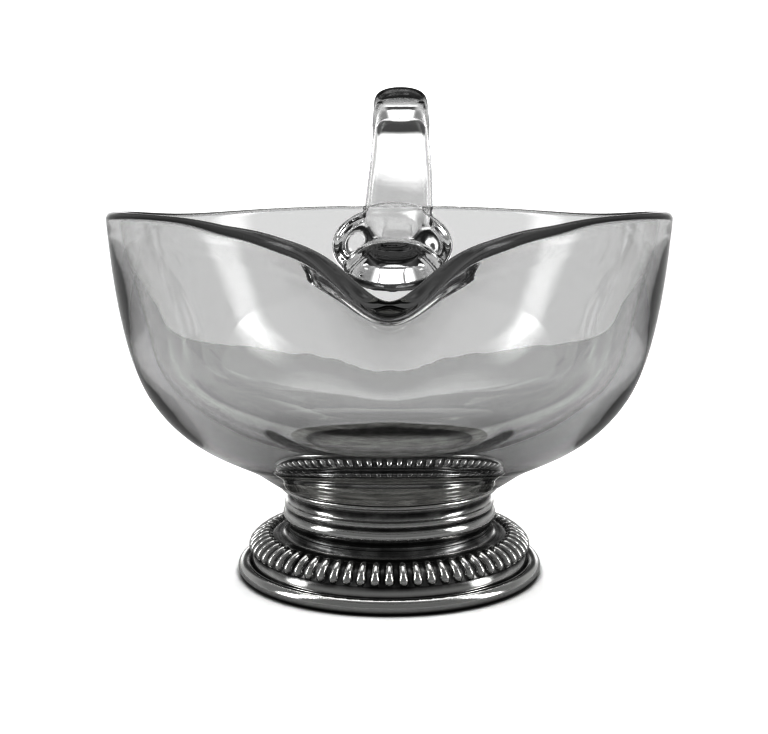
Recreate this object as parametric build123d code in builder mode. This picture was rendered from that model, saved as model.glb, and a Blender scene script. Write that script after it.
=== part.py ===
"""Footed sauce boat: a clear glass bowl with a pulled spout and a looped glass handle,
cemented into a spun silver foot with a gadrooned border.

Millimetres. The origin is the centre of the foot on the table, +Z is up, the spout
points along -Y and the handle along +Y.
"""

import os
from math import atan2, degrees, sqrt

from build123d import *

os.makedirs("parts", exist_ok=True)

# ---- bowl ----
bowl_radius = 60.5          # outside of the wall at the rim
rim_height = 80.4           # highest part of the rim, at the sides
wall = 2.7                  # glass thickness at the rim, growing towards the bottom
seat_height = 20.2          # underside of the bowl on the bezel
seat_radius = 24.2          # where the bowl leaves the bezel
floor_height = 24.6         # lowest point of the hollow
trim_height = 92.0          # rough height of the wall before the rim is cut

# ---- spout ----
spout_reach = 78.0          # tip of the spout in front of the axis
spout_lip_height = 67.9     # rim at the middle of the spout
lip_thickness = 3.2
keel_radius = 6.0           # round under the middle of the spout

# ---- handle ----
handle_shift = 2.6          # the hand-applied handle sits a little to the right
strap_width = 15.6
strap_thickness = 5.6
riser_foot = (60.5, 68.0)   # centre line of the strap, as (distance behind the axis, height)
riser_head = (68.0, 99.0)
riser_slope = degrees(atan2(riser_head[1] - riser_foot[1], riser_head[0] - riser_foot[0]))
crown_radius = 14.6
heel_radius = 24.0
heel_turn = 75.0
heel_length = 22.0
# Sections of the flared root: distance behind the axis, sideways, height, half-width, half-height.
root_sections = [
    (54.0, 0.8, 69.8, 16.6, 10.4),
    (61.5, 1.2, 69.9, 14.2, 9.4),
    (65.0, 2.0, 70.0, 9.6, 6.4),
    (72.0, handle_shift, 70.6, 7.4, 2.7),
]

# ---- silver foot ----
peg_radius = 20.4           # glass peg under the bowl
peg_bottom = 12.0
peg_chamfer = 1.2
sleeve_radius = 21.4        # inside of the neck collar
neck_top = 18.7
neck_bottom = 10.2
sheet = 0.8                 # silver sheet of the spun shells
ledge_height = 8.6          # flat ledge between neck and gadroons
skirt_radius = 31.2         # outside of the skirt under the gadroons
skirt_edge = 2.2            # height of the skirt's turned-in edge
wire_radius = 32.35         # centre line of the half-round base wire
wire_section = 1.65
wire_height = 1.55          # a little under wire_section, so the wire has a flat to stand on
plate_radius = 30.4
plate_bottom = 0.5
plate_top = 1.3

# ---- foot shell outline, as (radius, height) ----
dome_arc = ((26.3, ledge_height), (29.3, 7.2), (30.5, 4.9))
skirt_arc = ((30.5, 4.9), (30.9, 3.8), (skirt_radius, skirt_edge))
shell_inside = [
    (skirt_radius - sheet, skirt_edge),
    (30.0, 4.6),
    (28.7, 6.6),
    (26.1, ledge_height - sheet),
    (23.6, ledge_height - sheet),
    (sleeve_radius, 9.4),
    (sleeve_radius, neck_bottom),
]

# ---- gadroons ----
lobe_count = 66
lobe_radius = 1.18
lobe_arc = ((27.3, 8.15), (29.25, 7.35), (30.0, 5.75))     # centre line of one lobe


# ---------------------------------------------------------------- bowl forms
turning_plane = Plane.XZ.rotated((0, 0, 35))    # keeps the seam of turned shapes off the rim cuts

# Side of the bowl from low to high, as (radius, height).
wall_outside = [(41.6, 30.0), (52.0, 40.2), (57.4, 55.0), (bowl_radius, rim_height)]
wall_inside = [(36.0, 32.4), (43.0, 37.1), (50.0, 46.0), (53.1, 55.0), (bowl_radius - wall, rim_height)]


with BuildPart() as bowl_outside:
    with BuildSketch(turning_plane):
        with BuildLine():
            side = Spline(
                (seat_radius, seat_height),
                (30.4, 24.0),
                *wall_outside,
                tangents=[(1, 0.35), (0.06, 1)],
            )
            Polyline(
                side @ 1,
                (bowl_radius + 0.5, trim_height),
                (0, trim_height),
                (0, seat_height),
                side @ 0,
            )
        make_face()
    revolve(axis=Axis.Z)

with BuildPart() as bowl_hollow:
    with BuildSketch(turning_plane):
        with BuildLine():
            inside = Spline(
                (0, floor_height),
                (22.0, floor_height + 2.5),
                *wall_inside,
                tangents=[(1, 0), (0.06, 1)],
            )
            Polyline(
                inside @ 1,
                (bowl_radius + 0.5 - wall, trim_height + 1),
                (0, trim_height + 1),
                inside @ 0,
            )
        make_face()
    revolve(axis=Axis.Z)

# The spout's cross-sections from the wall to the tip: distance in front of the axis,
# height of the keel, half-width at the rim and height of the rim there.
spout_sections = [
    (50.0, 45.0, 36.0, 80.0),
    (61.0, 54.5, 27.0, 78.6),
    (70.0, 61.0, 17.6, 76.2),
    (spout_reach, spout_lip_height - lip_thickness, 7.6, 71.6),
]


def spout_section(distance, keel, half_width, rim, inset):
    """V across the spout with a round keel, carried up past the rim and inset by the glass."""
    drop = rim - keel - keel_radius
    slope = half_width * drop + keel_radius * sqrt(half_width**2 + drop**2 - keel_radius**2)
    slope = slope / (half_width**2 - keel_radius**2)
    point = keel + keel_radius - (keel_radius - inset) * sqrt(1 + slope**2)
    spread = (trim_height - point) / slope
    with BuildSketch(Plane.XZ.offset(distance)) as section:
        with BuildLine():
            FilletPolyline(
                (-spread, trim_height),
                (0, point),
                (spread, trim_height),
                radius=keel_radius - inset,
            )
            Line((spread, trim_height), (-spread, trim_height))
        make_face()
    return section.sketch


with BuildPart() as spout_outside:
    for distance, keel, half_width, rim in spout_sections:
        add(spout_section(distance, keel, half_width, rim, 0))
    loft(ruled=False)

with BuildPart() as spout_hollow:
    for distance, keel, half_width, rim in spout_sections:
        add(spout_section(distance, keel, half_width, rim, lip_thickness))
    loft(ruled=False)

# Everything above the rim: one profile across the front, one across the back.
margin = 6.0
cut_side = bowl_radius + margin
front_rim = [
    (43.0, 79.9),
    (22.4, 77.2),
    (7.8, 71.6),
    (0, spout_lip_height),
    (-7.8, 71.6),
    (-22.4, 77.2),
    (-43.0, 79.9),
]
back_rim = [(50, 78.4), (28, 79.8), (0, 80.4), (-28, 79.8), (-50, 78.4)]
with BuildPart() as above_rim:
    for rim_points, reach in ((front_rim, spout_reach), (back_rim, -bowl_radius)):
        with BuildSketch(Plane.XZ):
            with BuildLine():
                rim_line = Spline(
                    (bowl_radius, rim_height),
                    *rim_points,
                    (-bowl_radius, rim_height),
                )
                Polyline(
                    rim_line @ 1,
                    (-cut_side, rim_height),
                    (-cut_side, trim_height + margin),
                    (cut_side, trim_height + margin),
                    (cut_side, rim_height),
                    rim_line @ 0,
                )
            make_face()
        extrude(amount=reach * 1.1)

# ---------------------------------------------------------------- glass bowl
with BuildPart() as glass_bowl:
    add(bowl_outside.part)
    add(spout_outside.part)
    add(bowl_hollow.part, mode=Mode.SUBTRACT)
    add(spout_hollow.part, mode=Mode.SUBTRACT)
    add(above_rim.part, mode=Mode.SUBTRACT)
    with BuildSketch(turning_plane):
        Polygon(
            (0, peg_bottom),
            (peg_radius - peg_chamfer, peg_bottom),
            (peg_radius, peg_bottom + peg_chamfer),
            (peg_radius, seat_height),
            (0, seat_height),
            align=None,
        )
    revolve(axis=Axis.Z)
glass_bowl.part.label = "glass_bowl"
export_step(glass_bowl.part, "parts/glass_bowl.step")

# ---------------------------------------------------------------- handle
with BuildPart() as handle:
    with BuildLine(Plane.YZ.offset(handle_shift)) as strap_line:
        riser = Line(riser_foot, riser_head)
        crown = JernArc(riser @ 1, riser % 1, radius=crown_radius, arc_size=-(90 + riser_slope))
        heel = JernArc(crown @ 1, crown % 1, radius=heel_radius, arc_size=-heel_turn)
        Line(heel @ 1, (heel @ 1) + (heel % 1) * heel_length)
    with BuildSketch(Plane(origin=strap_line.line @ 0, x_dir=(1, 0, 0), z_dir=strap_line.line % 0)):
        Ellipse(strap_width / 2, strap_thickness / 2)
    sweep(path=strap_line.wires()[0])
    for behind, sideways, height, half_width, half_height in root_sections:
        with BuildSketch(Plane(origin=(sideways, behind, height), x_dir=(1, 0, 0), z_dir=(0, 1, 0))):
            Ellipse(half_width, half_height)
    loft()
    add(bowl_outside.part, mode=Mode.SUBTRACT)
handle.part.label = "handle"
export_step(handle.part, "parts/handle.step")

# ---------------------------------------------------------------- bezel ring
with BuildPart() as bezel_ring:
    with BuildSketch(Plane.XZ):
        with BuildLine():
            lip = ThreePointArc((23.7, 19.3), (24.4, 19.7), (seat_radius, seat_height))
            Polyline(
                lip @ 1,
                (peg_radius, seat_height),
                (peg_radius, neck_top),
                (23.2, neck_top),
                (23.4, 18.9),
                (23.4, 19.3),
                lip @ 0,
            )
        make_face()
    revolve(axis=Axis.Z)
bezel_ring.part.label = "bezel_ring"
export_step(bezel_ring.part, "parts/bezel_ring.step")

# ---------------------------------------------------------------- neck collar
with BuildPart() as neck_collar:
    with BuildSketch(Plane.XZ):
        with BuildLine():
            ThreePointArc((23.1, neck_top), (22.5, 17.6), (22.9, 16.6))
            ThreePointArc((22.9, 16.6), (23.5, 15.8), (22.9, 14.9))
            ThreePointArc((22.9, 14.9), (23.8, 13.4), (23.2, 12.0))
            ThreePointArc((23.2, 12.0), (22.6, 11.1), (22.8, neck_bottom))
            Polyline(
                (22.8, neck_bottom),
                (sleeve_radius, neck_bottom),
                (sleeve_radius, neck_top),
                (23.1, neck_top),
            )
        make_face()
    revolve(axis=Axis.Z)
neck_collar.part.label = "neck_collar"
export_step(neck_collar.part, "parts/neck_collar.step")

# ---------------------------------------------------------------- base wire
with BuildPart() as base_wire:
    flat = sqrt(wire_section**2 - wire_height**2)
    with BuildSketch(Plane.XZ):
        with BuildLine():
            ThreePointArc(
                (wire_radius - flat, 0),
                (wire_radius, wire_height + wire_section),
                (wire_radius + flat, 0),
            )
            Line((wire_radius + flat, 0), (wire_radius - flat, 0))
        make_face()
    revolve(axis=Axis.Z)
base_wire.part.label = "base_wire"
export_step(base_wire.part, "parts/base_wire.step")

# ---------------------------------------------------------------- foot shell
with BuildPart() as foot_shell:
    with BuildSketch(Plane.XZ):
        with BuildLine():
            cove = ThreePointArc((22.8, neck_bottom), (23.3, 9.1), (24.5, ledge_height))
            Line(cove @ 1, dome_arc[0])
            ThreePointArc(*dome_arc)
            ThreePointArc(*skirt_arc)
            Polyline(skirt_arc[2], *shell_inside, cove @ 0)
        make_face()
    revolve(axis=Axis.Z)
    add(base_wire.part, mode=Mode.SUBTRACT)
foot_shell.part.label = "foot_shell"
export_step(foot_shell.part, "parts/foot_shell.step")

# ---------------------------------------------------------------- gadroon border
with BuildPart() as lobe:
    with BuildLine(Plane.XZ) as lobe_line:
        ThreePointArc(*lobe_arc)
    with BuildSketch(Plane(origin=lobe_line.line @ 0, x_dir=(0, 1, 0), z_dir=lobe_line.line % 0)):
        Circle(lobe_radius)
    sweep(path=lobe_line.line)
    for end in (0, 1):
        with Locations(lobe_line.line @ end):
            Sphere(lobe_radius)

with BuildPart() as gadroon_border:
    with BuildSketch(Plane.XZ):
        with BuildLine():
            band = ThreePointArc(dome_arc[0], (29.75, 7.6), (31.0, 4.9))
            Line(band @ 1, (0, 4.9))
            Line((0, 4.9), (0, ledge_height))
            Line((0, ledge_height), band @ 0)
        make_face()
    revolve(axis=Axis.Z)
    with PolarLocations(0, lobe_count, start_angle=90):
        add(lobe.part)
    with BuildSketch(Plane.XZ):
        with BuildLine():
            ThreePointArc(*dome_arc)
            ThreePointArc(*skirt_arc)
            Polyline(skirt_arc[2], (0, skirt_edge), (0, ledge_height), dome_arc[0])
        make_face()
    revolve(axis=Axis.Z, mode=Mode.SUBTRACT)
gadroon_border.part.label = "gadroon_border"
export_step(gadroon_border.part, "parts/gadroon_border.step")

# ---------------------------------------------------------------- base plate
with BuildPart() as base_plate:
    with BuildSketch(Plane.XY.offset(plate_bottom)):
        Circle(plate_radius)
    extrude(amount=plate_top - plate_bottom)
base_plate.part.label = "base_plate"
export_step(base_plate.part, "parts/base_plate.step")

# ---------------------------------------------------------------- cement filling
with BuildPart() as cement_fill:
    with BuildSketch(Plane.XZ):
        with BuildLine():
            Polyline(
                (0, plate_top),
                (skirt_radius - sheet, plate_top),
                *shell_inside,
                (sleeve_radius, neck_top),
                (peg_radius, neck_top),
                (peg_radius, peg_bottom + peg_chamfer),
                (peg_radius - peg_chamfer, peg_bottom),
                (0, peg_bottom),
                close=True,
            )
        make_face()
    revolve(axis=Axis.Z)
cement_fill.part.label = "cement_fill"
export_step(cement_fill.part, "parts/cement_fill.step")
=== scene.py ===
import math

import bpy
import bmesh
import numpy as np
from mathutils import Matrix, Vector


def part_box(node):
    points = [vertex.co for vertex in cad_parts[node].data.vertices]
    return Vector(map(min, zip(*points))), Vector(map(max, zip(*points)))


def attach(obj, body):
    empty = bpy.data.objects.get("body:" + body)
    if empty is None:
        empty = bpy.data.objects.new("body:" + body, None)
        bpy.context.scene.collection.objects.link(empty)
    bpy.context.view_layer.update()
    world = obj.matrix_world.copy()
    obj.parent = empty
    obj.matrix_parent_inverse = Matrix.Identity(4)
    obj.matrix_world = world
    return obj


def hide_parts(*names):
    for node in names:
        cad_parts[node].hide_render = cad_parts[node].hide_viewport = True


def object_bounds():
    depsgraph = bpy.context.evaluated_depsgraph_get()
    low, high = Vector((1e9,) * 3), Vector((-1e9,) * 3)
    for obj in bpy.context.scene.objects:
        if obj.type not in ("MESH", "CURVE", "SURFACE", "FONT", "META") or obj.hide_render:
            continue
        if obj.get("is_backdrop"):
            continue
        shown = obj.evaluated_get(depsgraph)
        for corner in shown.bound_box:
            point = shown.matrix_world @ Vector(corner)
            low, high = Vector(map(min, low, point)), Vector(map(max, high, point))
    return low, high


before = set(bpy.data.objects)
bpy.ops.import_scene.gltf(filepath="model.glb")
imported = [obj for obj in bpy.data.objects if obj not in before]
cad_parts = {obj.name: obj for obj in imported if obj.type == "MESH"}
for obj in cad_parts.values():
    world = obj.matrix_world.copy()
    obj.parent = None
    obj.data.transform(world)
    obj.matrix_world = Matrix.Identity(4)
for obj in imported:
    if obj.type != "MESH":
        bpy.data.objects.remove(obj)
cad_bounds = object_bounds()

MM = 0.001
TAU = 2 * math.pi
COLUMNS = 400


def box_mm(node):
    low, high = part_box(node)
    return [c / MM for c in low], [c / MM for c in high]


# ---- where the frame puts things, in millimetres ----
bowl_low, bowl_high = box_mm("glass_bowl")
neck_low, neck_high = box_mm("neck_collar")
bezel_high = box_mm("bezel_ring")[1]
shell_high = box_mm("foot_shell")[1]
wire_high = box_mm("base_wire")[1]
handle_high = box_mm("handle")[1]

BOWL_R = bowl_high[0]
REACH = -bowl_low[1] - 0.15
RIM_Z = 80.4
SEAT_Z = bezel_high[2]
SEAT_R = bezel_high[0] - 0.2
PEG_Z = bowl_low[2]
PEG_R = 20.4
NECK_TOP = neck_high[2]
NECK_Z = neck_low[2]
NECK_BORE = 21.45
SHELL_R = shell_high[0]
WIRE_HALF = 1.65
WIRE_R = wire_high[0] - WIRE_HALF
HANDLE_TOP = handle_high[2]
WALL = 2.7
FLOOR_Z = 24.6


# ---- curves ----
def spline(xs, ys, slope_in=0.0, slope_out=0.0):
    """A cubic through the points with the given slopes at its two ends."""
    xs, ys = np.array(xs, float), np.array(ys, float)
    n, h = len(xs), np.diff(xs)
    a, b = np.zeros((n, n)), np.zeros(n)
    a[0, 0] = a[-1, -1] = 1
    b[0], b[-1] = slope_in, slope_out
    for i in range(1, n - 1):
        a[i, i - 1], a[i, i + 1] = 1 / h[i - 1], 1 / h[i]
        a[i, i] = 2 * (1 / h[i - 1] + 1 / h[i])
        b[i] = 3 * ((ys[i] - ys[i - 1]) / h[i - 1] ** 2 + (ys[i + 1] - ys[i]) / h[i] ** 2)
    m = np.linalg.solve(a, b)

    def at(x):
        x = np.clip(np.asarray(x, float), xs[0], xs[-1])
        i = np.clip(np.searchsorted(xs, x) - 1, 0, n - 2)
        t = (x - xs[i]) / h[i]
        return (
            ys[i] * (1 + 2 * t) * (1 - t) ** 2
            + m[i] * h[i] * t * (1 - t) ** 2
            + ys[i + 1] * t ** 2 * (3 - 2 * t)
            + m[i + 1] * h[i] * t ** 2 * (t - 1)
        )

    return at


def curve_through(points, start, end, count):
    """A smooth curve through the points, with count points and those directions at its ends."""
    p = np.array(points, float)
    chord = np.concatenate([[0], np.cumsum(np.linalg.norm(np.diff(p, axis=0), axis=1))])
    d0, d1 = np.array(start) / np.linalg.norm(start), np.array(end) / np.linalg.norm(end)
    s = np.linspace(0, chord[-1], count * 8)
    fine = np.stack([spline(chord, p[:, k], d0[k], d1[k])(s) for k in (0, 1)], axis=1)
    length = np.concatenate([[0], np.cumsum(np.linalg.norm(np.diff(fine, axis=0), axis=1))])
    u = np.linspace(0, length[-1], count)
    return np.stack([np.interp(u, length, fine[:, k]) for k in (0, 1)], axis=1)


def arc(a, b, c, count=9):
    """Points on the circle from a through b to c."""
    (ax, ay), (bx, by), (cx, cy) = a, b, c
    d = 2 * (ax * (by - cy) + bx * (cy - ay) + cx * (ay - by))
    sa, sb, sc = ax * ax + ay * ay, bx * bx + by * by, cx * cx + cy * cy
    ox = (sa * (by - cy) + sb * (cy - ay) + sc * (ay - by)) / d
    oy = (sa * (cx - bx) + sb * (ax - cx) + sc * (bx - ax)) / d
    r = math.hypot(ax - ox, ay - oy)
    t0, t1, t2 = (math.atan2(y - oy, x - ox) for x, y in (a, b, c))
    t1, t2 = t0 + (t1 - t0) % TAU, t0 + (t2 - t0) % TAU
    if t1 > t2:
        t2 -= TAU
    return [(ox + r * math.cos(t), oy + r * math.sin(t)) for t in np.linspace(t0, t2, count)]


def smooth_step(x, low, high):
    t = np.clip((x - low) / (high - low), 0, 1)
    return t * t * (3 - 2 * t)


# ---- meshes ----
def make_piece(name, verts_mm, faces):
    mesh = bpy.data.meshes.new(name)
    mesh.from_pydata((np.asarray(verts_mm) * MM).tolist(), [], faces)
    mesh.validate()
    bm = bmesh.new()
    bm.from_mesh(mesh)
    bmesh.ops.recalc_face_normals(bm, faces=bm.faces)
    bm.to_mesh(mesh)
    bm.free()
    mesh.polygons.foreach_set("use_smooth", [True] * len(mesh.polygons))
    piece = bpy.data.objects.new(name, mesh)
    bpy.context.scene.collection.objects.link(piece)
    return piece


def ring_faces(rows, columns, closed=False):
    """Quads over rows of points that each run right round. closed joins the last to the first."""
    faces = []
    for r in range(rows if closed else rows - 1):
        a, b = r * columns, ((r + 1) % rows) * columns
        for c in range(columns):
            d = (c + 1) % columns
            faces.append((a + c, a + d, b + d, b + c))
    return faces


def around(radius, height, angle):
    """Points at that radius and height, the angle measured from the spout round towards +X."""
    radius, height, angle = np.broadcast_arrays(radius, height, angle)
    return np.stack([radius * np.sin(angle), -radius * np.cos(angle), height], axis=-1)


def resample(points, step):
    """The corners stay, and long runs between them get points in between."""
    out = []
    loop = list(points) + [points[0]]
    for (ax, ay), (bx, by) in zip(loop, loop[1:]):
        n = max(1, int(math.ceil(math.hypot(bx - ax, by - ay) / step)))
        out += [(ax + (bx - ax) * k / n, ay + (by - ay) * k / n) for k in range(n)]
    return out


def turned(name, profile, columns=COLUMNS, step=0.6):
    """A closed profile of (radius, height), turned about the foot's axis."""
    section = np.array(resample(profile, step))
    angle = np.linspace(0, TAU, columns, endpoint=False)
    verts = around(section[:, :1], section[:, 1:], angle[None, :]).reshape(-1, 3)
    return make_piece(name, verts, ring_faces(len(section), columns, closed=True))


def store_tarnish_and_shade(piece, values):
    """Stores a value from 0 to 1 at each point, for how deep it lies in a hollow: tarnish and
    painted shade.
    """
    layer = piece.data.attributes.new("tarnish_and_shade", "FLOAT", "POINT")
    layer.data.foreach_set("value", np.asarray(values, np.float32))


def tarnish_and_shade_near_hollows(piece, hollows, reach):
    """Points near the given (radius, height) hollows count as recessed."""
    co = np.zeros(len(piece.data.vertices) * 3)
    piece.data.vertices.foreach_get("co", co)
    co = co.reshape(-1, 3) / MM
    radius = np.hypot(co[:, 0], co[:, 1])
    near = np.full(len(co), 1e9)
    for r, z in hollows:
        near = np.minimum(near, np.hypot(radius - r, co[:, 2] - z))
    store_tarnish_and_shade(piece, 1 - smooth_step(near, 0, reach))


# ---- the glass bowl with its spout ----
# Sections of the wall without its spout, as (radius, height).
OUTSIDE = [
    (SEAT_R, SEAT_Z),
    (30.4, 24.0),
    (41.6, 30.0),
    (52.0, 40.2),
    (57.4, 55.0),
    (BOWL_R, RIM_Z),
]
INSIDE = [
    (BOWL_R - WALL, RIM_Z),
    (53.1, 55.0),
    (50.0, 46.0),
    (43.0, 37.1),
    (36.0, 32.4),
    (22.0, 27.1),
    (0.0, FLOOR_Z),
]
outer_profile = curve_through(OUTSIDE, (1, 0.35), (0.06, 1), 600)
inner_profile = curve_through(INSIDE, (-0.06, -1), (-1, 0), 900)


def bowl_radius_at(z):
    return np.interp(z, outer_profile[:, 1], outer_profile[:, 0])


def thickness_profile():
    """Heights on the outside, and how far in from there, square to the wall, the hollow starts."""
    heading = np.gradient(outer_profile, axis=0)
    heading /= np.linalg.norm(heading, axis=1, keepdims=True)
    inward = np.stack([-heading[:, 1], heading[:, 0]], axis=1)
    depth = []
    for point, way in zip(outer_profile, inward):
        reach = inner_profile - point
        forward = reach @ way
        offline = np.abs(reach[:, 0] * way[1] - reach[:, 1] * way[0])
        offline[forward <= 0] = 1e9
        depth.append(forward[int(np.argmin(offline))])
    return outer_profile[:, 1], np.array(depth)


wall_z, wall_depth = thickness_profile()

# The rim's height at each angle from the spout.
RIM_ANGLES = [0, 3.4, 5.8, 8.5, 13.8, 18.6, 26.6, 31.6, 44.1, 62.5, 85, 105, 124, 138, 152, 180]
RIM_HEIGHTS = [
    *[67.9, 69.3, 71.4, 73.6, 75.9, 77.2, 78.3, 79.0],
    *[80.0, 80.4, 80.3, 79.6, 78.9, 79.3, 79.9, 80.4],
]
rim_height = spline(np.radians(RIM_ANGLES), RIM_HEIGHTS)

SPOUT_SPREAD = 0.42      # radians round the axis
SPOUT_START_Z = 45.0
SPOUT_FLARE = 2.6        # the higher, the later the wall turns forward
LIP_HALF_WIDTH = 19.0
LIP_SHARPNESS = 3.0
RIM_ROUND = 1.5          # height of the half round at the top of the wall

even_angle = np.linspace(0, TAU, COLUMNS, endpoint=False)
column_angle = even_angle - 0.6 * np.sin(even_angle)  # closer together at the spout
turn = np.abs((column_angle + math.pi) % TAU - math.pi)
top_z = rim_height(turn)
drawn = (REACH - BOWL_R) * np.exp(-((turn / SPOUT_SPREAD) ** 2))
across = (REACH - 3) * np.sin(np.minimum(turn, math.pi / 2)) / LIP_HALF_WIDTH
lip = np.clip(1 - across ** 2, 0, 1) ** LIP_SHARPNESS  # 1 at the middle of the spout's lip


def wall_radius(z):
    """Outer radius of each column's wall at its height z."""
    rise = np.clip((z - SPOUT_START_Z) / (top_z - RIM_ROUND - SPOUT_START_Z), 0, 1.05)
    return bowl_radius_at(z) + drawn * rise ** SPOUT_FLARE


def rim_to_lip(at_rim, at_lip):
    """The first value along the plain rim, passing into the second at the spout's lip."""
    return at_rim * (1 - lip) + at_lip * lip


BASE_ROWS, LIP_ROWS = 60, 18
base_rows = curve_through(OUTSIDE, (1, 0.35), (0.06, 1), BASE_ROWS)
row_share = (base_rows[:, 1] - SEAT_Z) / (RIM_Z - SEAT_Z)
BAND_DEPTH = 6.0  # the thickened band under the rim
neck_z = top_z - rim_to_lip(BAND_DEPTH, 5.3)
radii, heights, band = [], [], []
for share in row_share:
    z = SEAT_Z + (neck_z - SEAT_Z) * share
    radii.append(wall_radius(z))
    heights.append(z)
    band.append(np.zeros(COLUMNS))
tangent = np.stack([radii[-1] - radii[-2], heights[-1] - heights[-2]])
tangent /= np.linalg.norm(tangent, axis=0)
knee = rim_to_lip(2.2, 0.9)
mid_r, mid_z = radii[-1] + tangent[0] * knee, heights[-1] + tangent[1] * knee
end_r = rim_to_lip(wall_radius(top_z - RIM_ROUND), BOWL_R + drawn - 0.8)
end_z = top_z - rim_to_lip(RIM_ROUND, 3.3)
BAND_PROUD = 0.03
band_share = (1 - lip) * smooth_step(across * LIP_HALF_WIDTH, 10, 20)
start_r, start_z = radii[-1], heights[-1]
for q in np.linspace(0, 1, LIP_ROWS + 1)[1:]:
    r = start_r * (1 - q) ** 2 + 2 * mid_r * q * (1 - q) + end_r * q * q
    z = start_z * (1 - q) ** 2 + 2 * mid_z * q * (1 - q) + end_z * q * q
    radii.append(r)
    heights.append(z)
    band.append(BAND_PROUD * band_share * smooth_step(z, top_z - BAND_DEPTH, top_z - 4.4))
plain = around(np.array(radii), np.array(heights), column_angle[None, :])
outer = around(np.array(radii) + np.array(band), np.array(heights), column_angle[None, :])

along = np.gradient(plain, axis=0)
aside = (np.roll(plain, -1, axis=1) - np.roll(plain, 1, axis=1)) / 2
normal = np.cross(aside, along)
normal /= np.linalg.norm(normal, axis=2, keepdims=True)
INNER_FROM_R = 41.0  # nearer the axis the hollow has rows of its own
first_inner = int(np.argmax(base_rows[:, 0] > INNER_FROM_R))

# How thick the wall is. Above THIN_FROM_Z each column has the whole profile up to its own rim, the
# lip ends a little thicker, and so does the keel under the spout.
THIN_FROM_Z, LIP_EXTRA, KEEL_EXTRA = 40.0, 0.6, 0.44
row_z = plain[:, :, 2]
stretched = THIN_FROM_Z + (row_z - THIN_FROM_Z) * (RIM_Z - THIN_FROM_Z) / (top_z - THIN_FROM_Z)
depth = np.interp(np.where(row_z > THIN_FROM_Z, stretched, row_z), wall_z, wall_depth)
depth = depth + LIP_EXTRA * lip * smooth_step(stretched, 76.0, RIM_Z)
keel = smooth_step(row_z, 36.0, 47.0) - smooth_step(row_z, 48.0, 62.0)
depth = depth + KEEL_EXTRA * np.exp(-((turn / SPOUT_SPREAD) ** 2)) * keel
inner = plain - normal * depth[:, :, None]

# The rounded end of the wall: a half round at the rim, squarer at the spout's lip.
lift = along[-1] - normal[-1] * np.sum(along[-1] * normal[-1], axis=1, keepdims=True)
lift /= np.linalg.norm(lift, axis=1, keepdims=True)
half = (outer[-1] - inner[-1]) / 2
middle = (outer[-1] + inner[-1]) / 2
square = (1 - 0.42 * lip)[:, None]
bulge = rim_to_lip(RIM_ROUND, 1.15)[:, None]
cap = []
for phi in np.linspace(0, math.pi, 15)[1:-1]:
    c, s = math.cos(phi), math.sin(phi)
    cap.append(middle + half * np.sign(c) * abs(c) ** square + lift * bulge * s ** square)

# The bottom of the hollow runs on from each column's lowest wall point to the axis.
inner_run = np.concatenate([[0], np.cumsum(np.linalg.norm(np.diff(inner_profile, axis=0), axis=1))])
edge = inner[first_inner]
edge_radius = np.hypot(edge[:, 0], edge[:, 1])
edge_run = np.interp(-edge_radius, -inner_profile[:, 0], inner_run)
edge_offset = edge[:, 2] - np.interp(edge_run, inner_run, inner_profile[:, 1])
floor_rows = []
for q in np.linspace(0, 1, 46)[1:-1]:
    place = edge_run + (inner_run[-1] - edge_run) * q
    radius = np.interp(place, inner_run, inner_profile[:, 0])
    height = np.interp(place, inner_run, inner_profile[:, 1]) + edge_offset * (1 - q) ** 4
    floor_rows.append(around(radius, height, column_angle))

# The seat and the peg under the bowl, a little clear of the silver and the cement.
GAP = 0.03
PEG_CHAMFER = 1.2
under_curve = np.array(resample(
    [
        (SEAT_R, SEAT_Z + GAP),
        (PEG_R - GAP, SEAT_Z + GAP),
        (PEG_R - GAP, PEG_Z + PEG_CHAMFER),
        (PEG_R - PEG_CHAMFER, PEG_Z + GAP),
        (0.4, PEG_Z + GAP),
    ],
    1.4,
))
# The wall has the first point already, and the way back from the axis isn't needed.
under_curve = under_curve[1:int(np.argmin(under_curve[:, 0])) + 1]

rows = [around(r, z, column_angle) for r, z in under_curve[::-1]]
rows += list(outer)
rows += cap
rows += [inner[k] for k in range(len(outer) - 1, first_inner - 1, -1)]
rows += floor_rows
verts = np.concatenate(rows)
faces = ring_faces(len(rows), COLUMNS)
poles = np.array([[0, 0, PEG_Z + GAP], [0, 0, FLOOR_Z]])
last_row = (len(rows) - 1) * COLUMNS
low_pole, high_pole = len(verts), len(verts) + 1
faces += [(low_pole, (c + 1) % COLUMNS, c) for c in range(COLUMNS)]
faces += [(high_pole, last_row + c, last_row + (c + 1) % COLUMNS) for c in range(COLUMNS)]
glass = make_piece("glass_boat", np.concatenate([verts, poles]), faces)

# ---- the looped handle, drawn out of one gather on the back wall ----
RISER_FOOT, RISER_HEAD = (60.5, 68.0), (67.5, 100.2)
CROWN_R, SHOULDER_R, HEEL_R, HEEL_TURN, HEEL_RUN = 11.0, 17.0, 24.0, 75.0, 20.0
HEEL_STEPS = 17
rise = math.atan2(RISER_HEAD[1] - RISER_FOOT[1], RISER_HEAD[0] - RISER_FOOT[0])
crown = (RISER_HEAD[0] + CROWN_R * math.sin(rise), RISER_HEAD[1] - CROWN_R * math.cos(rise))
path = []
for t in np.linspace(0, 1, 36):
    path.append(tuple(a + (b - a) * t for a, b in zip(RISER_FOOT, RISER_HEAD)))
for t in np.linspace(rise + math.pi / 2, math.pi / 2, 26)[1:]:
    path.append((crown[0] + CROWN_R * math.cos(t), crown[1] + CROWN_R * math.sin(t)))
shoulder = (crown[0], crown[1] + CROWN_R - SHOULDER_R)
for t in np.linspace(math.pi / 2, 0, 30)[1:]:
    path.append((shoulder[0] + SHOULDER_R * math.cos(t), shoulder[1] + SHOULDER_R * math.sin(t)))
heel = (path[-1][0] - HEEL_R, path[-1][1])
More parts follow.
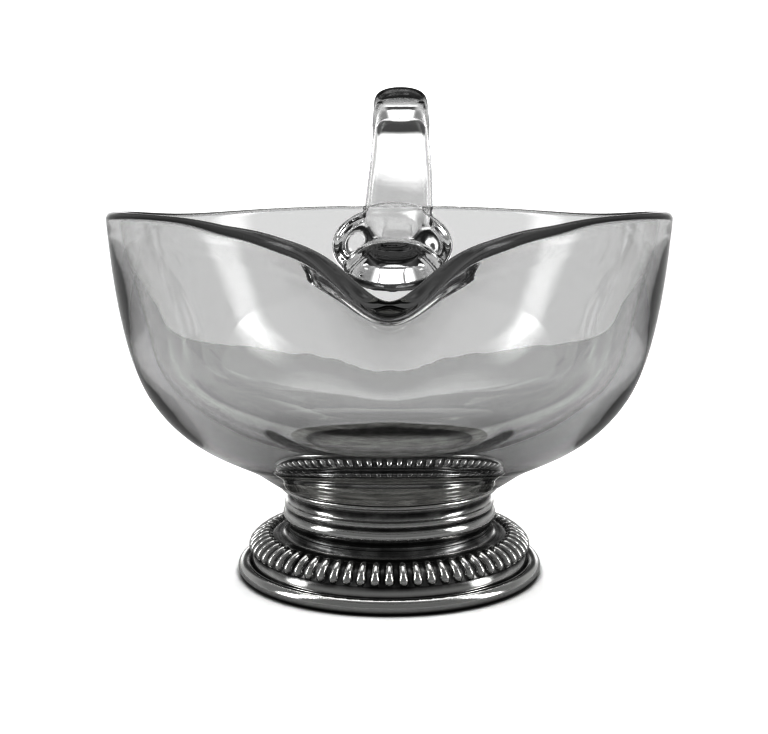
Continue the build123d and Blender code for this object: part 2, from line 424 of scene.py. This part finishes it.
for t in np.linspace(0, -math.radians(HEEL_TURN), 36)[1:]:
    path.append((heel[0] + HEEL_R * math.cos(t), heel[1] + HEEL_R * math.sin(t)))
down = -math.radians(HEEL_TURN) - math.pi / 2
for _ in range(HEEL_STEPS):
    y, z = path[-1]
    y += HEEL_RUN / HEEL_STEPS * math.cos(down)
    z += HEEL_RUN / HEEL_STEPS * math.sin(down)
    path.append((y, z))
path = np.array(path)
run = np.concatenate([[0], np.cumsum(np.linalg.norm(np.diff(path, axis=0), axis=1))])
heading = np.gradient(path, axis=0)
heading /= np.linalg.norm(heading, axis=1, keepdims=True)
# half the strap's width, half its thickness, and how far it stands to the right
strap_half = spline(
    [0, 12, 32, run[-1] * 0.42, run[-1] * 0.62, run[-1] - 20, run[-1] - 12, run[-1]],
    [9.8, 9.3, 8.0, 7.2, 7.4, 7.8, 9.0, 13.2],
)(run)
strap_deep = spline(
    [0, 24, 40, 50, 72, run[-1] - 20, run[-1] - 12, run[-1]],
    [3.0, 3.0, 3.7, 3.9, 3.8, 3.2, 3.5, 6.6],
)(run)
lean = spline([60, 70, 81, HANDLE_TOP], [0.8, 1.6, 2.6, 3.1], 0.05, 0.0)(path[:, 1])
SECTION = 56
strap_rows = []
for (y, z), (ty, tz), a, b, x0 in zip(path, heading, strap_half, strap_deep, lean):
    for k in range(SECTION):
        t = TAU * k / SECTION
        c, s = math.cos(t), math.sin(t)
        u = a * math.copysign(abs(c) ** 0.88, c)
        v = b * math.copysign(abs(s) ** 0.88, s)
        strap_rows.append((x0 + u, y - tz * v, z + ty * v))
strap_faces = ring_faces(len(path), SECTION)
strap_faces.append(tuple(range(SECTION)))
strap_faces.append(tuple(range((len(path) - 1) * SECTION, len(path) * SECTION)))

# The gather: a low blob on the outside of the wall, with its edge flowing into the wall.
ROOT_X, ROOT_Z, ROOT_HALF_X, ROOT_HALF_Z, ROOT_PROUD = 0.8, 69.8, 15.6, 9.8, 6.2
ROOT_EDGE = 1.16  # where its edge has sunk into the wall, as a share of its half-width
RINGS, SPOKES = 26, 72
root_rows = []
for ring in range(RINGS + 1):
    q = ROOT_EDGE * ring / RINGS
    hump = max(0.0, 1 - min(q, 1.0) ** 3.2) ** 0.6
    skirt = 1 - float(smooth_step(q, 0.96, ROOT_EDGE))
    proud = ROOT_PROUD * hump + 0.5 * skirt - 0.35
    for k in range(SPOKES):
        t = TAU * k / SPOKES
        x, z = ROOT_X + ROOT_HALF_X * q * math.cos(t), ROOT_Z + ROOT_HALF_Z * q * math.sin(t)
        r = float(bowl_radius_at(z)) + proud
        root_rows.append((x, math.sqrt(r * r - x * x), z))
for k in range(SPOKES):
    t = TAU * k / SPOKES
    x = ROOT_X + ROOT_HALF_X * ROOT_EDGE * math.cos(t)
    z = ROOT_Z + ROOT_HALF_Z * ROOT_EDGE * math.sin(t)
    r = float(bowl_radius_at(z)) - 1.6
    root_rows.append((x, math.sqrt(r * r - x * x), z))
root_faces = ring_faces(RINGS + 2, SPOKES)
root_faces.append(tuple(range(SPOKES)))
root_faces.append(tuple(range((RINGS + 1) * SPOKES, (RINGS + 2) * SPOKES)))
shift = len(strap_rows)
handle = make_piece(
    "handle_work",
    np.array(strap_rows + root_rows),
    strap_faces + [tuple(i + shift for i in f) for f in root_faces],
)


def applied(obj):
    """The object's mesh with its modifiers applied, as a new mesh."""
    graph = bpy.context.evaluated_depsgraph_get()
    return bpy.data.meshes.new_from_object(obj.evaluated_get(graph))


# Strap and gather become one skin, and whatever reaches through the wall is pushed back inside it.
remesh = handle.modifiers.new("gather", "REMESH")
remesh.mode = "VOXEL"
remesh.voxel_size = 0.45 * MM
remesh.use_smooth_shade = True
soften = handle.modifiers.new("soften", "SMOOTH")
soften.iterations = 14
soften.factor = 0.6
handle_mesh = applied(handle)
handle.modifiers.clear()
handle.data = handle_mesh
co = np.zeros(len(handle_mesh.vertices) * 3)
handle_mesh.vertices.foreach_get("co", co)
co = co.reshape(-1, 3) / MM
radius = np.hypot(co[:, 0], co[:, 1])
inside = bowl_radius_at(np.clip(co[:, 2], SEAT_Z, RIM_Z)) - 1.4
push = np.where((radius < inside) & (co[:, 2] < RIM_Z - 2), inside / np.maximum(radius, 1), 1.0)
co[:, 0] *= push
co[:, 1] *= push
handle_mesh.vertices.foreach_set("co", (co * MM).ravel())
handle_mesh.update()

# Bowl and handle become one piece of glass.
weld = glass.modifiers.new("weld", "BOOLEAN")
weld.operation = "UNION"
weld.solver = "EXACT"
weld.object = handle
glass_mesh = applied(glass)
glass.modifiers.clear()
glass.data = glass_mesh
bpy.data.objects.remove(handle)
glass_mesh.polygons.foreach_set("use_smooth", [True] * len(glass_mesh.polygons))
bedded = [1 if face.center.z < (SEAT_Z + 0.1) * MM else 0 for face in glass_mesh.polygons]
glass_mesh.update()

# ---- the silver foot ----
bezel = turned(
    "bezel_ring_spun",
    [(PEG_R + 0.05, SEAT_Z - 0.04), (PEG_R + 0.05, NECK_TOP + 0.03), (22.95, NECK_TOP + 0.03)]
    + arc((22.95, 18.73), (23.35, 18.98), (23.1, 19.28), 8)
    + [(23.2, 19.4), (23.62, 19.4)]
    + arc((23.7, 19.4), (24.42, 19.8), (24.1, SEAT_Z - 0.04), 10),
    step=0.4,
)
# the bezel's groove is darkened: tarnish and painted shade
tarnish_and_shade_near_hollows(bezel, [(23.15, 19.38)], 0.5)

neck = turned(
    "neck_collar_spun",
    arc((23.1, NECK_TOP), (22.5, 17.6), (22.9, 16.6), 14)
    + arc((22.95, 16.55), (23.5, 15.8), (22.95, 14.95), 14)
    + arc((22.9, 14.85), (23.82, 13.4), (23.2, 12.0), 18)
    + arc((23.1, 11.85), (22.6, 11.1), (22.8, NECK_Z + 0.02), 10)
    + [(NECK_BORE, NECK_Z + 0.02), (NECK_BORE, NECK_TOP)],
    step=0.5,
)
# the neck's coves are darkened: tarnish and painted shade
neck_hollows = [(22.5, 17.6), (22.55, 17.9), (22.9, 14.9), (22.6, 11.1), (22.7, 10.4)]
tarnish_and_shade_near_hollows(neck, neck_hollows, 1.0)

shell = turned(
    "foot_shell_spun",
    arc((22.8, NECK_Z), (23.3, 9.1), (24.5, 8.6), 12)
    + [(25.4, 8.58)]
    + arc((26.3, 8.55), (29.3, 7.15), (30.5, 4.9), 16)
    + arc((30.55, 4.8), (30.9, 3.8), (SHELL_R, 2.25), 9)
    + [(30.45, 2.25), (30.0, 4.6), (28.7, 6.6), (26.1, 7.8), (23.6, 7.8)]
    + [(NECK_BORE, 9.4), (NECK_BORE, NECK_Z)],
    step=0.5,
)
# the shell's hollows and the groove over the wire are darkened: tarnish and painted shade
shell_hollows = [(22.9, 9.9), (23.2, 9.4), (24.2, 8.7), (25.0, 8.6), (30.6, 4.9), (SHELL_R, 2.6)]
tarnish_and_shade_near_hollows(shell, shell_hollows, 1.1)

wire = turned(
    "base_wire_drawn",
    [
        (WIRE_R + WIRE_HALF * math.cos(t), max(0.0, 1.55 + WIRE_HALF * math.sin(t)))
        for t in np.linspace(0, TAU, 48, endpoint=False)
    ],
    columns=360,
    step=0.5,
)
# the wire is darkened in the groove above it, as tarnish and painted shade, and where it sits on
# the floor, as a painted contact shadow
tarnish_and_shade_near_hollows(wire, [(31.3, 3.0), (33.2, 0.1)], 0.9)

# The gadrooned border: lobes that start narrow at the ledge, swell and end round above the skirt.
LOBES, LOBE_COLUMNS = 66, 22
LOBE_HEIGHT = 1.2
LOBE_HALF_WIDTH = 0.37  # as a share of the distance between lobes
ground = np.array(arc((26.25, 8.6), (29.35, 7.3), (30.75, 5.0), 30))
tangents = np.gradient(ground, axis=0)
tangents /= np.linalg.norm(tangents, axis=1, keepdims=True)
outward = np.stack([-tangents[:, 1], tangents[:, 0]], axis=1)
outward *= np.sign(outward[:, 1:2] + 1e-9)
share = np.linspace(0, 1, len(ground))
swell_at = spline([0, 0.08, 0.3, 0.65, 0.88, 1.0], [0.25, 0.62, 0.86, 1.0, 0.85, 0.0], 6.0, -14.0)
width_at = spline([0, 0.1, 0.4, 0.7, 0.9, 1.0], [0.62, 0.76, 0.92, 1.0, 0.86, 0.15], 1.5, -10.0)
swell = np.clip(swell_at(share), 0, None)
width = np.clip(width_at(share), 0.05, None)
angle = np.linspace(0, TAU, LOBES * LOBE_COLUMNS, endpoint=False)
phase = (angle * LOBES / TAU + 0.5) % 1 - 0.5
border_rows, border_tarnish_and_shade = [], []
for (r, z), (nr, nz), high, wide in zip(ground, outward, swell, width):
    q = np.abs(phase) / (LOBE_HALF_WIDTH * wide)
    up = LOBE_HEIGHT * high * np.sqrt(np.clip(1 - q ** 2, 0, 1))
    border_rows.append(around(r + 0.12 + nr * up, z + 0.08 + nz * up, angle))
    # the ground between the lobes is darkened: tarnish and painted shade
    border_tarnish_and_shade.append(1 - np.clip(up / 0.9, 0, 1))
# the underside of the border is fully darkened: painted shade under it
for r, z in arc((30.55, 4.95), (29.2, 7.1), (26.3, 8.5), 10):
    border_rows.append(around(np.full_like(angle, r), z, angle))
    border_tarnish_and_shade.append(np.ones_like(angle))
border = make_piece(
    "gadroon_border_cast",
    np.concatenate(border_rows),
    ring_faces(len(border_rows), len(angle), closed=True),
)
store_tarnish_and_shade(border, np.concatenate(border_tarnish_and_shade))


# ---- materials ----
def new_material(name):
    material = bpy.data.materials.new(name)
    material.use_nodes = True
    nodes = material.node_tree.nodes
    return material, nodes, material.node_tree.links, nodes["Principled BSDF"]


def noise(nodes, links, coords, scale, detail=3.0, rough=0.5):
    n = nodes.new("ShaderNodeTexNoise")
    n.inputs["Scale"].default_value = scale
    n.inputs["Detail"].default_value = detail
    n.inputs["Roughness"].default_value = rough
    links.new(coords, n.inputs["Vector"])
    return n.outputs["Fac"]


def remap(nodes, links, value, from_low, from_high, to_low, to_high):
    n = nodes.new("ShaderNodeMapRange")
    n.inputs["From Min"].default_value = from_low
    n.inputs["From Max"].default_value = from_high
    n.inputs["To Min"].default_value = to_low
    n.inputs["To Max"].default_value = to_high
    links.new(value, n.inputs["Value"])
    return n.outputs["Result"]


def bump(nodes, links, height, distance, strength=1.0):
    n = nodes.new("ShaderNodeBump")
    n.inputs["Distance"].default_value = distance
    n.inputs["Strength"].default_value = strength
    links.new(height, n.inputs["Height"])
    return n.outputs["Normal"]


# the glass's painted glow: after this many bounces it emits grey light at these strengths
TRAPPED_AFTER = 5.5            # bounces
PAINTED_GLOW = (0.08, 0.42)   # where the wall is seen face on, and edge on


def glass_material():
    material, nodes, links, shader = new_material("clear_glass")
    shader.inputs["Base Color"].default_value = (0.94, 0.94, 0.94, 1)
    shader.inputs["IOR"].default_value = 1.52
    shader.inputs["Transmission Weight"].default_value = 1.0
    coords = nodes.new("ShaderNodeTexCoord").outputs["Object"]
    # faint waves of fire-polished glass, and fine handling scratches that show only in the gloss
    waves = noise(nodes, links, coords, 55.0, 2.0)
    stretch = nodes.new("ShaderNodeMapping")
    stretch.inputs["Scale"].default_value = (1.0, 1.0, 9.0)
    links.new(coords, stretch.inputs["Vector"])
    scratches = noise(nodes, links, stretch.outputs["Vector"], 420.0, 5.0, 0.7)
    links.new(remap(nodes, links, scratches, 0.6, 0.85, 0.0, 0.02), shader.inputs["Roughness"])
    links.new(bump(nodes, links, waves, 0.00002), shader.inputs["Normal"])
    # light from the lamps passes through the glass to what stands under it
    clear = nodes.new("ShaderNodeBsdfTransparent")
    clear.inputs["Color"].default_value = (0.96, 0.96, 0.96, 1)
    either = nodes.new("ShaderNodeMixShader")
    light_path = nodes.new("ShaderNodeLightPath")
    links.new(light_path.outputs["Is Shadow Ray"], either.inputs["Fac"])
    links.new(shader.outputs["BSDF"], either.inputs[1])
    links.new(clear.outputs["BSDF"], either.inputs[2])
    # light that has bounced more often than that ends in a painted glow of grey instead of going on
    painted_glow = nodes.new("ShaderNodeEmission")
    facing = nodes.new("ShaderNodeLayerWeight").outputs["Facing"]
    links.new(remap(nodes, links, facing, 0.15, 0.85, *PAINTED_GLOW), painted_glow.inputs["Strength"])
    long_way = nodes.new("ShaderNodeMath")
    long_way.operation = "GREATER_THAN"
    long_way.inputs[1].default_value = TRAPPED_AFTER
    links.new(light_path.outputs["Ray Depth"], long_way.inputs[0])
    outcome = nodes.new("ShaderNodeMixShader")
    links.new(long_way.outputs[0], outcome.inputs["Fac"])
    links.new(either.outputs["Shader"], outcome.inputs[1])
    links.new(painted_glow.outputs["Emission"], outcome.inputs[2])
    links.new(outcome.outputs["Shader"], nodes["Material Output"].inputs["Surface"])
    return material


def silver_material():
    """Polished silver, cloudy in places, with dark tarnish and painted shade in the recesses."""
    material, nodes, links, shader = new_material("polished_silver")
    shader.inputs["Metallic"].default_value = 1.0
    coords = nodes.new("ShaderNodeTexCoord").outputs["Object"]
    tarnish_and_shade = nodes.new("ShaderNodeAttribute")
    tarnish_and_shade.attribute_name = "tarnish_and_shade"
    cloud = noise(nodes, links, coords, 160.0, 4.0, 0.6)
    fine = noise(nodes, links, coords, 1500.0, 3.0, 0.6)
    spread = nodes.new("ShaderNodeMath")
    spread.operation = "MULTIPLY_ADD"
    links.new(remap(nodes, links, cloud, 0.3, 0.75, 0.35, 1.0), spread.inputs[0])
    links.new(tarnish_and_shade.outputs["Fac"], spread.inputs[1])
    links.new(remap(nodes, links, cloud, 0.62, 0.8, 0.0, 0.12), spread.inputs[2])
    # the hollows turn near black: tarnish together with painted shade
    mix = nodes.new("ShaderNodeMix")
    mix.data_type = "RGBA"
    mix.inputs["A"].default_value = (0.74, 0.74, 0.735, 1)
    mix.inputs["B"].default_value = (0.03, 0.03, 0.032, 1)
    links.new(spread.outputs[0], mix.inputs["Factor"])
    links.new(mix.outputs["Result"], shader.inputs["Base Color"])
    worn = nodes.new("ShaderNodeMath")
    worn.operation = "ADD"
    links.new(remap(nodes, links, cloud, 0.35, 0.7, 0.07, 0.16), worn.inputs[0])
    links.new(remap(nodes, links, tarnish_and_shade.outputs["Fac"], 0.4, 1.0, 0.0, 0.22), worn.inputs[1])
    links.new(worn.outputs[0], shader.inputs["Roughness"])
    links.new(bump(nodes, links, fine, 0.000012, 0.6), shader.inputs["Normal"])
    return material


def cement_material():
    material, nodes, links, shader = new_material("cement")
    coords = nodes.new("ShaderNodeTexCoord").outputs["Object"]
    grain = noise(nodes, links, coords, 900.0, 6.0, 0.7)
    ramp = nodes.new("ShaderNodeValToRGB")
    ramp.color_ramp.elements[0].color = (0.42, 0.41, 0.39, 1)
    ramp.color_ramp.elements[1].color = (0.72, 0.71, 0.68, 1)
    links.new(grain, ramp.inputs["Fac"])
    links.new(ramp.outputs["Color"], shader.inputs["Base Color"])
    shader.inputs["Roughness"].default_value = 0.9
    links.new(bump(nodes, links, grain, 0.0002, 0.8), shader.inputs["Normal"])
    return material


def bedding_material():
    """The faces of the glass that are stuck in the cement, seen through the glass."""
    material, nodes, links, shader = new_material("bedded_glass")
    coords = nodes.new("ShaderNodeTexCoord").outputs["Object"]
    patches = noise(nodes, links, coords, 260.0, 5.0, 0.6)
    ramp = nodes.new("ShaderNodeValToRGB")
    ramp.color_ramp.elements[0].position = 0.3
    ramp.color_ramp.elements[0].color = (0.15, 0.15, 0.145, 1)
    ramp.color_ramp.elements[1].position = 0.7
    ramp.color_ramp.elements[1].color = (0.36, 0.36, 0.35, 1)
    links.new(patches, ramp.inputs["Fac"])
    links.new(ramp.outputs["Color"], shader.inputs["Base Color"])
    shader.inputs["Roughness"].default_value = 0.8
    links.new(bump(nodes, links, patches, 0.0001, 0.5), shader.inputs["Normal"])
    return material


def plate_material():
    material, nodes, links, shader = new_material("silver_plate")
    shader.inputs["Metallic"].default_value = 1.0
    coords = nodes.new("ShaderNodeTexCoord").outputs["Object"]
    rings = nodes.new("ShaderNodeTexWave")
    rings.wave_type = "RINGS"
    rings.rings_direction = "Z"
    rings.inputs["Scale"].default_value = 380.0
    rings.inputs["Distortion"].default_value = 0.6
    links.new(coords, rings.inputs["Vector"])
    cloud = noise(nodes, links, coords, 90.0, 5.0, 0.6)
    ramp = nodes.new("ShaderNodeValToRGB")
    ramp.color_ramp.elements[0].position = 0.35
    ramp.color_ramp.elements[0].color = (0.42, 0.41, 0.40, 1)
    ramp.color_ramp.elements[1].position = 0.7
    ramp.color_ramp.elements[1].color = (0.74, 0.73, 0.72, 1)
    links.new(cloud, ramp.inputs["Fac"])
    links.new(ramp.outputs["Color"], shader.inputs["Base Color"])
    links.new(remap(nodes, links, cloud, 0.3, 0.7, 0.25, 0.45), shader.inputs["Roughness"])
    links.new(bump(nodes, links, rings.outputs["Fac"], 0.00002, 0.5), shader.inputs["Normal"])
    return material


def finish_with(piece, material):
    piece.data.materials.clear()
    piece.data.materials.append(material)


silver = silver_material()
finish_with(glass, glass_material())
glass.data.materials.append(bedding_material())
glass.data.polygons.foreach_set("material_index", bedded)
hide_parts("glass_bowl", "handle")
for piece, node in (
    (bezel, "bezel_ring"),
    (neck, "neck_collar"),
    (shell, "foot_shell"),
    (border, "gadroon_border"),
    (wire, "base_wire"),
):
    finish_with(piece, silver)
    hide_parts(node)
for piece in (glass, bezel, neck, shell, border, wire):
    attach(piece, "root")
for node, material in (("base_plate", plate_material()), ("cement_fill", cement_material())):
    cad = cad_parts[node]
    cad.data.materials.clear()
    cad.data.materials.append(material)

# ---- floor, light and camera ----
floor_mesh = bpy.data.meshes.new("floor")
SIDE, TABLE_EDGE = 0.6, 0.22
corners = [(-SIDE, -SIDE, 0), (SIDE, -SIDE, 0), (SIDE, TABLE_EDGE, 0), (-SIDE, TABLE_EDGE, 0)]
floor_mesh.from_pydata(corners, [], [(0, 1, 2, 3)])
floor = bpy.data.objects.new("floor", floor_mesh)
bpy.context.scene.collection.objects.link(floor)
floor_material, nodes, links, shader = new_material("pale_floor")
shader.inputs["Roughness"].default_value = 0.8
shader.inputs["Specular IOR Level"].default_value = 0.05
# the silver and the glass show the floor dimmer than it looks on its own
dimmer = nodes.new("ShaderNodeMix")
dimmer.data_type = "RGBA"
dimmer.inputs["A"].default_value = (0.36, 0.36, 0.36, 1)
dimmer.inputs["B"].default_value = (0.62, 0.62, 0.62, 1)
links.new(nodes.new("ShaderNodeLightPath").outputs["Is Camera Ray"], dimmer.inputs["Factor"])
links.new(dimmer.outputs["Result"], shader.inputs["Base Color"])
floor_mesh.materials.append(floor_material)
floor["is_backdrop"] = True

world = bpy.data.worlds.new("studio")
bpy.context.scene.world = world
world.use_nodes = True
nodes, links = world.node_tree.nodes, world.node_tree.links
background = nodes["Background"]
direction = nodes.new("ShaderNodeTexCoord").outputs["Generated"]
split = nodes.new("ShaderNodeSeparateXYZ")
links.new(direction, split.inputs["Vector"])


def reckon(operation, *values):
    """A math node over sockets and plain numbers."""
    n = nodes.new("ShaderNodeMath")
    n.operation = operation
    for k, value in enumerate(values):
        if isinstance(value, (int, float)):
            n.inputs[k].default_value = value
        else:
            links.new(value, n.inputs[k])
    return n.outputs[0]


def soft(value, start, end):
    """0 at start rising smoothly to 1 at end."""
    n = nodes.new("ShaderNodeMapRange")
    n.interpolation_type = "SMOOTHSTEP"
    n.inputs["From Min"].default_value = start
    n.inputs["From Max"].default_value = end
    links.new(value, n.inputs["Value"])
    return n.outputs["Result"]


def grey_ramp(value, stops):
    n = nodes.new("ShaderNodeValToRGB")
    first, last = n.color_ramp.elements[0], n.color_ramp.elements[-1]
    first.position, last.position = stops[0][0], stops[-1][0]
    first.color, last.color = (*[stops[0][1]] * 3, 1), (*[stops[-1][1]] * 3, 1)
    for place, level in stops[1:-1]:
        n.color_ramp.elements.new(place).color = (level, level, level, 1)
    links.new(value, n.inputs["Fac"])
    return n.outputs["Color"]


east, north, up = split.outputs["X"], split.outputs["Y"], split.outputs["Z"]
side = reckon("ABSOLUTE", east)
# darker towards the front and overhead, bright behind and low
overhead_part = reckon("MULTIPLY", reckon("MAXIMUM", up, 0.0), 0.8)
front_to_back = reckon("MULTIPLY_ADD", reckon("SUBTRACT", north, overhead_part), 0.5, 0.5)
room = grey_ramp(front_to_back, ((0.0, 0.52), (0.3, 0.56), (0.5, 0.57), (0.68, 0.72), (1.0, 0.78)))
# straight behind: a bright wall, a dark gap over it, and a bright panel above the gap
behind = grey_ramp(
    reckon("MULTIPLY_ADD", up, 0.5, 0.5),
    (
        (0.485, 0.42),
        (0.512, 0.60),
        (0.604, 0.60),
        (0.640, 0.15),
        (0.785, 0.15),
        (0.812, 0.70),
        (0.985, 0.70),
        (0.998, 0.3),
    ),
)
behind_share = reckon("MULTIPLY", soft(side, 0.55, 0.30), soft(north, 0.0, 0.18))
behind_level = reckon("MULTIPLY", behind, 2.0)
room_part = reckon("MULTIPLY", room, reckon("SUBTRACT", 1.0, behind_share))
level = reckon("ADD", room_part, reckon("MULTIPLY", behind_level, behind_share))
# a tall soft light at either side
turned_in = reckon("ABSOLUTE", reckon("ADD", reckon("ARCTAN2", north, side), 0.17))
raised = reckon("ABSOLUTE", reckon("SUBTRACT", reckon("ARCSINE", up), 0.47))
lights = reckon("MULTIPLY", soft(turned_in, 0.24, 0.06), soft(raised, 0.55, 0.15))
level = reckon("ADD", level, reckon("MULTIPLY", lights, 3.2))
# the camera itself sees plain white
light_path = nodes.new("ShaderNodeLightPath")
level = reckon("MAXIMUM", level, light_path.outputs["Is Camera Ray"])
links.new(level, background.inputs["Color"])
background.inputs["Strength"].default_value = 1.15


def softbox(name, place, target, size, power):
    data = bpy.data.lights.new(name, "AREA")
    data.shape = "RECTANGLE"
    data.size, data.size_y = size
    data.energy = power
    lamp = bpy.data.objects.new(name, data)
    bpy.context.scene.collection.objects.link(lamp)
    lamp.location = place
    aim = np.array(target, float) - np.array(place, float)
    lamp.rotation_euler = Vector(aim).to_track_quat("-Z", "Y").to_euler()
    return lamp


overhead = softbox("top_box", place=(0.0, 0.1, 0.9), target=(0, 0, 0), size=(0.9, 0.9), power=14.0)
overhead.visible_glossy = False
overhead.visible_transmission = False

camera_data = bpy.data.cameras.new("camera")
camera = bpy.data.objects.new("camera", camera_data)
bpy.context.scene.collection.objects.link(camera)
camera_data.sensor_fit = "HORIZONTAL"
camera_data.sensor_width = 36.0
camera_data.lens = 58.59
camera_data.shift_x = -0.0069
camera_data.clip_start = 0.01
camera.location = (0.0, -0.2748, 0.08534)
camera.rotation_euler = (math.radians(90 - 8.186), 0, 0)
bpy.context.scene.camera = camera
view = bpy.context.scene.view_settings
view.view_transform = "Standard"
view.gamma = 0.36

plain = [[[float(c) for c in corner] for corner in b] for b in (cad_bounds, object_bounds())]
